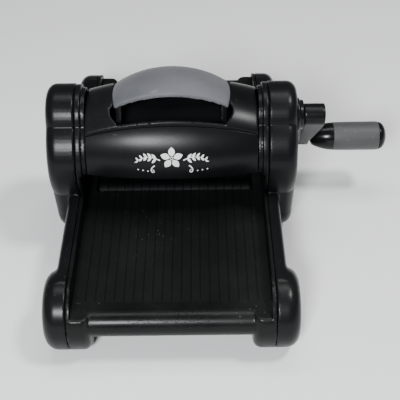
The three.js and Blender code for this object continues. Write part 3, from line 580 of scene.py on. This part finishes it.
def bed_panel():
    """The flat bed with engraved lines along the feed, and the slot that the lower roller rises in."""
    top, floor = BED_TOP + 0.04, BED_TOP - GROOVE_DEPTH
    tops = [(-RAIL_INNER, top)]
    for i in range(-GROOVES_EACH_SIDE, GROOVES_EACH_SIDE + 1):
        x = i * GROOVE_PITCH
        tops += [(x - GROOVE_MOUTH, top), (x - GROOVE_FLOOR, floor),
                 (x + GROOVE_FLOOR, floor), (x + GROOVE_MOUTH, top)]
    tops.append((RAIL_INNER, top))
    slot_x, slot_y = ROLLER_SLOT
    end = BED_END + 1.5
    strips = ((-end, -slot_y, tops), (slot_y, end, tops))
    strips += tuple((-slot_y, slot_y, [(a, top), (b, top)])
                    for a, b in ((-RAIL_INNER, -slot_x), (slot_x, RAIL_INNER)))
    points, faces = [], []
    for y0, y1, edge in strips:
        outline = edge + [(edge[-1][0], BED_TOP - 4), (edge[0][0], BED_TOP - 4)]
        start, count = len(points), len(outline)
        points += [(x, y, z) for y in (y0, y1) for x, z in outline]
        faces.append(tuple(start + i for i in range(count)))
        faces.append(tuple(start + count + i for i in range(count)))
        for i in range(count):
            j = (i + 1) % count
            faces.append((start + i, start + j, start + count + j, start + count + i))
    return mesh_object("bed_panel", points, faces, 12)


def base():
    low, high = (-SEAM, FRONT, FOOT_FLAT), (SEAM, REAR, RAIL_TOP)
    piece = sculpted("base_moulding", base_distance, low, high, 1.2, 50)
    dress(piece, BODY, BASE_BLACK, "black_plastic", "base_bed")
    dress(bed_panel(), BODY, BED_BLACK, "black_plastic", "base_bed")

# ---- top shell, handle and barrel panels ---------------------------------------------------------


def arch(x, top, radius):
    return top - radius + np.sqrt(np.maximum(radius ** 2 - x ** 2, 1))


def opening_outline():
    """The finger opening from above, in X, Y: widest beside the pad's edge, drawn in to the lip."""
    quarter = [(OPENING_LIP, 60)]
    for y in np.linspace(LIP_Y, WIDEST_Y, 8):
        quarter.append((OPENING_WIDEST - (OPENING_WIDEST - OPENING_LIP)
                        * ((y - WIDEST_Y) / (LIP_Y - WIDEST_Y)) ** 2, y))
    for y in np.linspace(WIDEST_Y, CORNER_Y, 5)[1:]:
        quarter.append((OPENING_WIDEST - (OPENING_WIDEST - OPENING_MIDDLE)
                        * ((y - WIDEST_Y) / (CORNER_Y - WIDEST_Y)) ** 2, y))
    quarter.append((OPENING_MIDDLE, 0))
    half = quarter + [(x, -y) for x, y in reversed(quarter[:-1])]
    return half + [(-x, y) for x, y in reversed(half)]


def pad_ends(x, y):
    return np.abs(x) - PAD_HALF_X + PAD_END_CURVE * (y / PAD_HALF) ** 2


def pad_sides(x, y):
    return np.abs(y) - PAD_HALF + PAD_SIDE_CURVE * (x / PAD_HALF_X) ** 2


def top_shell_distance(p):
    x, y, z = p[:, 0], p[:, 1], p[:, 2]

    def loaf(inset, floor):
        centre = arch(x, CREST, CREST_R) - SHELL_CROWN_R
        crown = np.hypot(y, z - centre) - SHELL_CROWN_R + inset
        crown = np.where(z > centre, crown, -20.0)
        return np.maximum(np.maximum(crown, np.abs(y) - SHELL_HALF + inset), floor - z)

    outer = blend_max(loaf(0, SHELL_FLOOR), np.abs(x) - SHELL_END, 1.6)
    inner = np.maximum(loaf(3, SHELL_FLOOR + 3), np.abs(x) - SHELL_END + 3)
    shell = blend_max(outer, -inner, 0.8)
    lip = arch(x, CREST, CREST_R) - SHELL_DROP
    window = np.maximum(outline_distance(opening_outline(), x, y), lip - z)
    under_pad = np.maximum(np.maximum(pad_ends(x, y) - 0.25, pad_sides(x, y) - 0.3), 138 - z)
    return blend_max(shell, -np.minimum(window, under_pad), 1.3)


def handle_top(x, y):
    fall = PAD_CROWN_R - np.sqrt(PAD_CROWN_R ** 2 - np.minimum(y ** 2, 900))
    return arch(x, HANDLE_TOP, HANDLE_R) - fall


def pad_distance(p):
    x, y, z = p[:, 0], p[:, 1], p[:, 2]
    level = (z - handle_top(x, y)) * 0.86
    solid = blend_max(level, blend_max(pad_sides(x, y), pad_ends(x, y), 1.4), 1.6)
    return np.maximum(solid, -level - PAD_THICK)


def handle_bar_distance(p):
    """An arched bar whose sides draw in below the pad, standing on two full-width legs."""
    x, y, z = p[:, 0], p[:, 1], p[:, 2]
    depth = handle_top(x, y) - z
    level = (1.2 - depth) * 0.86
    flank = (pad_sides(x, y) + 0.8 + 0.7 * np.maximum(depth - 4, 0)) * 0.8
    tunnel = (arch(x, HANDLE_TOP, HANDLE_R) - BAR_DEPTH - z) * 0.85
    bar = blend_max(blend_max(level, flank, 1.5), tunnel, 4.0)
    legs = np.maximum(level, np.abs(y) - np.clip(PAD_HALF - 4 + (depth - 3) * 0.6, 0, BAR_HALF))
    legs = blend_max(legs, LEG_INNER - np.abs(x), 1.5)
    solid = blend_min(bar, legs, 2.0)
    solid = blend_max(solid, np.abs(x) - LEG_OUTER + 3.0, 1.0)
    return np.maximum(solid, SHELL_FLOOR + 3.3 - z)


def shell_and_handle():
    shell = sculpted("upper_shell", top_shell_distance, (-SHELL_END, -SHELL_HALF, SHELL_FLOOR),
                     (SHELL_END, SHELL_HALF, CREST), 1.0, 55)
    dress(shell, BODY, BLACK, "black_plastic", "top_shell")
    bar = sculpted("carry_handle", handle_bar_distance, (-LEG_OUTER, -BAR_HALF, SHELL_FLOOR),
                   (LEG_OUTER, BAR_HALF, HANDLE_TOP), 1.0, 50)
    dress(bar, BODY, BLACK, "black_plastic", "handle_bar")
    pad = sculpted("soft_grip", pad_distance, (-52, -PAD_HALF, 140),
                   (52, PAD_HALF, HANDLE_TOP), 0.9, 50)
    dress(pad, BODY, GRIP, "grip_grey", "handle_grip_pad")


def barrel_panel(name, node, facing):
    """The bulged panel; facing is -1 at the front and 1 at the rear."""
    end = SHELL_END - 0.3
    xs = np.linspace(-end, end, 61)
    radii = BARREL_MID_R - (BARREL_MID_R - BARREL_END_R) * (xs / end) ** 2
    seam = SHELL_HALF + 0.3
    grids = []
    for inset in (0.0, BARREL_WALL):
        columns = []
        for x, radius in zip(xs, radii - inset):
            low = math.asin((BARREL_BOTTOM - BARREL_Z) / radius)
            high = math.acos(seam / radius)
            angles = np.linspace(low, high, 29)
            columns.append([(x, facing * radius * math.cos(a), BARREL_Z + radius * math.sin(a))
                            for a in angles])
        grids.append(np.array(columns))
    piece = bevelled(thick_sheet(name, *grids), 0.7)
    dress(piece, BODY, BLACK, "black_plastic", node)

# ---- printed ornament ----------------------------------------------------------------------------


def on_barrel(u, v):
    """A point of the print, v mm up the panel from its lower edge, just proud of the surface."""
    end = SHELL_END - 0.3
    radius = BARREL_MID_R - (BARREL_MID_R - BARREL_END_R) * (u / end) ** 2
    angle = math.asin((BARREL_BOTTOM - BARREL_Z) / radius) + v / radius
    proud = radius + 0.12
    return u, -proud * math.cos(angle), BARREL_Z + proud * math.sin(angle)


def stroke(points, faces, path, width):
    """A ribbon of ink along path(t), width(t) mm wide, for t from 0 to 1."""
    steps = 22
    start = len(points)
    centres = [np.array(path(i / steps)) for i in range(steps + 1)]
    for i, centre in enumerate(centres):
        along = centres[min(i + 1, steps)] - centres[max(i - 1, 0)]
        across = np.array([-along[1], along[0]]) / max(np.linalg.norm(along), 1e-6)
        for side in (-1, 0, 1):
            u, v = centre + side * across * width(i / steps) / 2
            points.append(on_barrel(u, v))
    for i in range(steps):
        for j in (0, 1):
            a = start + 3 * i + j
            faces.append((a, a + 1, a + 4, a + 3))


def leaf(points, faces, base, heading, length, width):
    direction = np.array([math.cos(heading), math.sin(heading)])
    stroke(points, faces, lambda t: base + direction * length * t,
           lambda t: max(0.05, width * math.sin(math.pi * min(t + 0.03, 1.0)) ** 0.8))


def ornament():
    """A five-petal flower between two curling leafy sprigs."""
    points, faces = [], []
    middle_v = 21.5
    flower = np.array([0.0, middle_v])
    for count, first, out, length, width in ((5, math.pi / 2, 1.9, 8.2, 5.6), (12, 0.0, 0.7, 0.9, 0.5)):
        for k in range(count):
            a = first + 2 * math.pi * k / count
            spot = flower + out * np.array([math.cos(a), math.sin(a)])
            leaf(points, faces, spot, a, length, width)
    for side in (-1, 1):
        def stem(t, side=side):
            rise = 5.5 * math.sin(2.6 * t + 0.2) - 3 * t
            return np.array([side * (10 + 22 * t), middle_v - 3 + rise])

        stroke(points, faces, stem, lambda t: 1.0 - 0.55 * t)
        for k, t in enumerate((0.16, 0.34, 0.52, 0.70, 0.86)):
            for turn in (-1, 1):
                leaf(points, faces, stem(t), math.pi / 2 - side * (math.pi / 2 - turn * 0.85),
                     5.6 - 0.6 * k, 2.3 - 0.2 * k)

        def curl(t, side=side):
            a = 0.4 + 4.6 * t
            r = 4.4 * (1 - 0.72 * t)
            return np.array([side * (13 + r * math.sin(a) + 5 * t), middle_v - 11 + r * math.cos(a)])

        stroke(points, faces, curl, lambda t: 1.1 - 0.6 * t)
        for k in range(3):
            berry = np.array([side * (21.5 + 4.2 * k), middle_v - 12.5 + 0.7 * k])
            leaf(points, faces, berry, 0.2, 1.5, 1.3)
    dress(mesh_object("printed_flower", points, faces), BODY, INK, "grip_grey")

# ---- crank and knob ------------------------------------------------------------------------------


def capsule_plane(u, v, ends, radii):
    """Distance in a plane from a bar with round ends of two radii."""
    (au, av), (bu, bv) = ends
    du, dv = bu - au, bv - av
    t = np.clip(((u - au) * du + (v - av) * dv) / (du ** 2 + dv ** 2), 0, 1)
    return np.hypot(u - au - t * du, v - av - t * dv) - (radii[0] + t * (radii[1] - radii[0]))


def crank():
    knob_y, knob_z = middle("knob_grip", 1) * 1000, middle("knob_grip", 2) * 1000
    arm_low, arm_high = extent("crank_arm")
    tip_from, tip_to = 119.5, 130.0
    reach = math.hypot(knob_y, knob_z - CRANK_Z)

    def arm_distance(p):
        x, y, z = p[:, 0], p[:, 1], p[:, 2]
        plane = capsule_plane(y, z, ((0, CRANK_Z), (knob_y, knob_z)), (9.9, 8.0))
        t = np.clip((y * knob_y + (z - CRANK_Z) * (knob_z - CRANK_Z)) / reach ** 2, 0.05, 0.9)
        inner = arm_low[0] + (tip_from - arm_low[0]) * np.clip((t - 0.12) / 0.75, 0, 1)
        outer = arm_high[0] - (arm_high[0] - tip_to) * np.clip((t - 0.14) / 0.7, 0, 1)
        half, centre = (outer - inner) / 2, (outer + inner) / 2
        a, b = plane + 1.6, np.abs(x - centre) - half + 1.6
        solid = np.minimum(np.maximum(a, b), 0) + np.hypot(np.maximum(a, 0), np.maximum(b, 0)) - 1.6
        return blend_max(solid, -np.maximum(np.hypot(y, z - CRANK_Z) - 7.3, arm_high[0] - 4.6 - x), 0.6)

    arm = sculpted("crank_arm_shape", arm_distance, arm_low, arm_high, 0.8, 50)
    dress(arm, "crank", BLACK, "black_plastic", "crank_arm")

    low, high = extent("crank_cap_screw")
    head = [(low[0], 0.02), (low[0], 2.3), (131.6, 2.3), (131.6, 6.9), (high[0] - 1.6, 6.9),
            (high[0] - 0.4, 5.2), (high[0], 2.6), (high[0] - 0.5, 2.4), (high[0] - 0.5, 0.02)]
    dress(turned("hub_cap", head, (0, CRANK_Z), 48), "crank", GLOSS, "gloss_black", "crank_cap_screw")

    low, high = extent("crank_collar")
    bore = 6.3
    collar = rounded([(low[0], bore), (low[0], 11), (110.3, 11), (110.3, 15.4), (112.6, 15.4),
                      (113.1, 13.6), (high[0], 13.0), (high[0], bore)], 0.8) + [(low[0], bore)]
    dress(turned("collar", collar, (0, CRANK_Z), 64), BODY, GLOSS, "gloss_black", "crank_collar")

    knob = (knob_y, knob_z)
    low, high = extent("knob_cone")
    width = high[0] - low[0]
    swell = [(low[0] + width * t, 7.2 + 6.3 * math.sin(0.5 * math.pi * t) ** 0.9)
             for t in np.linspace(0.08, 1, 14)]
    cone = [(low[0], 3.3), (low[0], 5.4), (low[0] + 0.6, 6.6), *swell, (high[0], 3.3), (low[0], 3.3)]
    dress(turned("cone", cone, knob, 64), "knob", GLOSS, "gloss_black", "knob_cone")

    low, high = extent("knob_grip")
    radius = (high[2] - low[2]) / 2
    sleeve = rounded([(low[0], 3.3), (low[0], radius - 0.2), (low[0] + 12, radius),
                      (high[0] - 4, radius + 0.05), (high[0], radius - 0.2), (high[0], 6.0),
                      (194.5, 6.0), (194.5, 3.3)], 0.6)
    grip = turned("sleeve", sleeve + [(low[0], 3.3)], knob, 64)
    dress(grip, "knob", SLEEVE, "sleeve_grey", "knob_grip")

    low, high = extent("knob_end_cap")
    width = high[0] - low[0]
    dome = [(low[0], 0.02), (low[0], 12.6), (low[0] + 0.4, 13.3)]
    dome += [(low[0] + 0.4 + (width - 0.4) * math.sin(a), 13.3 * math.cos(a))
             for a in np.linspace(0.08, 0.5 * math.pi - 0.01, 16)]
    dress(turned("end_dome", dome, knob, 64), "knob", GLOSS, "gloss_black", "knob_end_cap")

# ---- rollers, screws and feet --------------------------------------------------------------------


def roller(level, z):
    """A roller coloured near-black as painted shade for the shadow it sits in; the lower one carries on
    the lines of the bed.
    """
    node = f"{level}_roller"
    half = {"upper": 78.5, "lower": 72.0}[level]
    low, high = extent(node)
    lines = []
    if level == "lower":
        for i in range(-GROOVES_EACH_SIDE, GROOVES_EACH_SIDE + 1):
            x = i * GROOVE_PITCH
            lines += [(x - 0.6, 16.0), (x - 0.3, 15.3), (x + 0.3, 15.3), (x + 0.6, 16.0)]
    profile = [(low[0], 0.02), (low[0], 5.4), (low[0] + 0.6, 6.0), (-half, 6.0), (-half, 15.2),
               (0.8 - half, 16.0), *lines, (half - 0.8, 16.0), (half, 15.2), (half, 6.0),
               (high[0] - 0.6, 6.0), (high[0], 5.4), (high[0], 0.02)]
    bar = turned(f"{level}_roller_bar", profile, (0, z), 96, 20)
    dress(bar, f"{level}_roller_set", ROLLER_PAINTED_SHADE, "dark_steel", node)


def screw_mesh():
    """A pan head screw with a cross recess, its head at the origin and its shank towards -X, in mm."""
    head_r, rim_h, shank_r, shank_length = 3.6, 0.9, 1.6, 6.0
    ring, shank_sides = 40, 20
    points, faces = [], []
    dome = [(0.0, shank_r), (0.0, head_r), (rim_h, head_r)]
    dome += [(rim_h + (SCREW_HEAD - rim_h) * math.sin(a), head_r * (0.42 + 0.58 * math.cos(a)))
             for a in np.linspace(0.3, 1.5, 7)]
    for x, r in dome:
        points += [(x, r * math.cos(2 * math.pi * i / ring), r * math.sin(2 * math.pi * i / ring))
                   for i in range(ring)]
    for k in range(len(dome) - 1):
        for i in range(ring):
            a, b = k * ring + i, k * ring + (i + 1) % ring
            faces.append((a, b, b + ring, a + ring))
    cross_start = len(points)
    arm, wide, depth = 1.42, 0.42, 1.3
    corners = []
    for quarter in range(4):
        a = math.pi / 2 * quarter
        for u, v in ((arm, -wide), (arm, wide), (wide, wide)):
            corners.append((u * math.cos(a) - v * math.sin(a), u * math.sin(a) + v * math.cos(a)))
    count = len(corners)
    points += [(SCREW_HEAD, u, v) for u, v in corners]
    points += [(SCREW_HEAD - depth, 0.5 * u, 0.5 * v) for u, v in corners]
    for i in range(count):
        j = (i + 1) % count
        faces.append((cross_start + i, cross_start + j,
                      cross_start + count + j, cross_start + count + i))
    faces.append(tuple(cross_start + count + i for i in range(count)))
    rim = (len(dome) - 1) * ring
    angles = [math.atan2(v, u) % (2 * math.pi) for u, v in corners]
    order = sorted(range(count), key=lambda k: angles[k])
    slot = 0
    for i in range(ring):
        a = 2 * math.pi * (i + 0.5) / ring
        here, there = rim + i, rim + (i + 1) % ring
        while slot < count - 1 and angles[order[slot + 1]] <= a:
            faces.append((cross_start + order[slot], cross_start + order[slot + 1], here))
            slot += 1
        faces.append((here, there, cross_start + order[slot]))
    faces.append((cross_start + order[-1], cross_start + order[0], rim))
    near = len(points)
    far = near + shank_sides
    for i in range(shank_sides):
        a = 2 * math.pi * i / shank_sides
        points.append((0.0, shank_r * math.cos(a), shank_r * math.sin(a)))
    points += [(-shank_length, y, z) for _, y, z in points[near:far]]
    for i in range(shank_sides):
        j = (i + 1) % shank_sides
        faces.append((near + i, near + j, far + j, far + i))
    faces.append(tuple(range(far, far + shank_sides)))
    return np.array(points), faces


def screws():
    points, faces = screw_mesh()
    for node in sorted(frame["nodes"]):
        if not node.endswith("_screw") or "rod" in node or "cap" in node or "handle" in node:
            continue
        low, high = extent(node)
        centre = (low + high) / 2
        placed = points.copy()
        if "floor" in node:
            placed = np.column_stack([points[:, 1], points[:, 2], -points[:, 0]])
            place = (centre[0], centre[1], low[2] + SCREW_HEAD)
        elif node.startswith("left"):
            placed = points * (-1, -1, 1)
            place = (low[0] + SCREW_HEAD, centre[1], centre[2])
        else:
            place = (high[0] - SCREW_HEAD, centre[1], centre[2])
        piece = mesh_object(f"{node}_head", placed + place, faces, 30)
        dress(piece, BODY, DARK_STEEL, "dark_steel", node)


def foot_pads():
    for end in ("front", "rear"):
        for side in ("left", "right"):
            node = f"{end}_{side}_foot_pad"
            low, high = extent(node)
            plane_half = (high - low)[:2] / 2
            centre = (low + high) / 2

            def distance(p, centre=centre, half=plane_half, top=high[2]):
                plane = box_distance(p[:, :2] - centre[:2], -half, half, 3.0)
                return drawn_out(plane, p[:, 2], 0.0, top, 0.5)

            piece = sculpted(f"{end}_{side}_rubber", distance, low, high, 0.7, 45)
            dress(piece, BODY, RUBBER, "foot_rubber", node)

# ---- surroundings: floor, light and camera -------------------------------------------------------


def surroundings():
    floor_mesh = bpy.data.meshes.new("floor")
    size = 6.0
    corners = [(-size, -size, 0), (size, -size, 0), (size, size, 0), (-size, size, 0)]
    floor_mesh.from_pydata(corners, [], [(0, 1, 2, 3)])
    floor = bpy.data.objects.new("floor", floor_mesh)
    bpy.context.scene.collection.objects.link(floor)
    n = Nodes("pale floor")
    pale = n.mix(n.noise(3, 3, 0.5), (0.86, 0.86, 0.855), (0.9, 0.9, 0.895))
    n.link(pale, n.shader.inputs["Base Color"])
    n.shader.inputs["Roughness"].default_value = 0.9
    n.shader.inputs["Specular IOR Level"].default_value = 0.2
    floor_mesh.materials.append(n.material)
    world = bpy.data.worlds.new("studio")
    bpy.context.scene.world = world
    world.use_nodes = True
    background = world.node_tree.nodes["Background"]
    background.inputs["Color"].default_value = (0.93, 0.95, 1.0, 1)
    background.inputs["Strength"].default_value = 0.16


def area_light(name, place, target, width, height, power, tint=(1, 1, 1)):
    data = bpy.data.lights.new(name, "AREA")
    data.shape = "RECTANGLE"
    data.size, data.size_y = width, height
    data.energy = power
    data.color = tint
    lamp = bpy.data.objects.new(name, data)
    lamp.location = place
    lamp.rotation_euler = (Vector(target) - Vector(place)).to_track_quat("-Z", "Y").to_euler()
    bpy.context.scene.collection.objects.link(lamp)


def lights():
    centre = (float(ORIGIN[0]), 0.0, 0.09)
    area_light("window", (centre[0] - 0.21, -1.1, 0.82), centre, 0.24, 0.26, 23, (0.95, 0.985, 1.0))
    area_light("overhead", (centre[0], 0.3, 1.9), centre, 1.1, 0.5, 11)
    area_light("ceiling lamp", (centre[0] + 0.83, -0.24, 1.77), centre, 0.34, 0.3, 24)


def camera():
    """In front of the bed, a little towards the crank, looking down at the machine."""
    place = np.array([25.7, -618.7, 562.7]) * 0.001 + ORIGIN
    pitch, yaw, roll = math.radians(41.1), math.radians(-0.19), math.radians(-0.81)
    ahead = math.cos(pitch)
    forward = Vector((math.sin(yaw) * ahead, math.cos(yaw) * ahead, -math.sin(pitch)))
    level = Vector((math.cos(yaw), -math.sin(yaw), 0))
    lift = level.cross(forward)
    right = math.cos(roll) * level + math.sin(roll) * lift
    up = -math.sin(roll) * level + math.cos(roll) * lift
    data = bpy.data.cameras.new("camera")
    data.sensor_width = 36
    data.lens = 76.04
    data.clip_start = 0.01
    viewer = bpy.data.objects.new("camera", data)
    rows = [(right[i], up[i], -forward[i], place[i]) for i in range(3)]
    viewer.matrix_world = Matrix([*rows, (0, 0, 0, 1)])
    bpy.context.scene.collection.objects.link(viewer)
    bpy.context.scene.camera = viewer


# ---- the whole object ----------------------------------------------------------------------------

camera()
surroundings()
lights()
dress_frame()
side_covers()
side_frames()
base()
shell_and_handle()
barrel_panel("front_bulge", "front_barrel_panel", -1)
barrel_panel("rear_bulge", "rear_barrel_panel", 1)
ornament()
crank()
roller("upper", UPPER_Z)
roller("lower", LOWER_Z)
screws()
foot_pads()
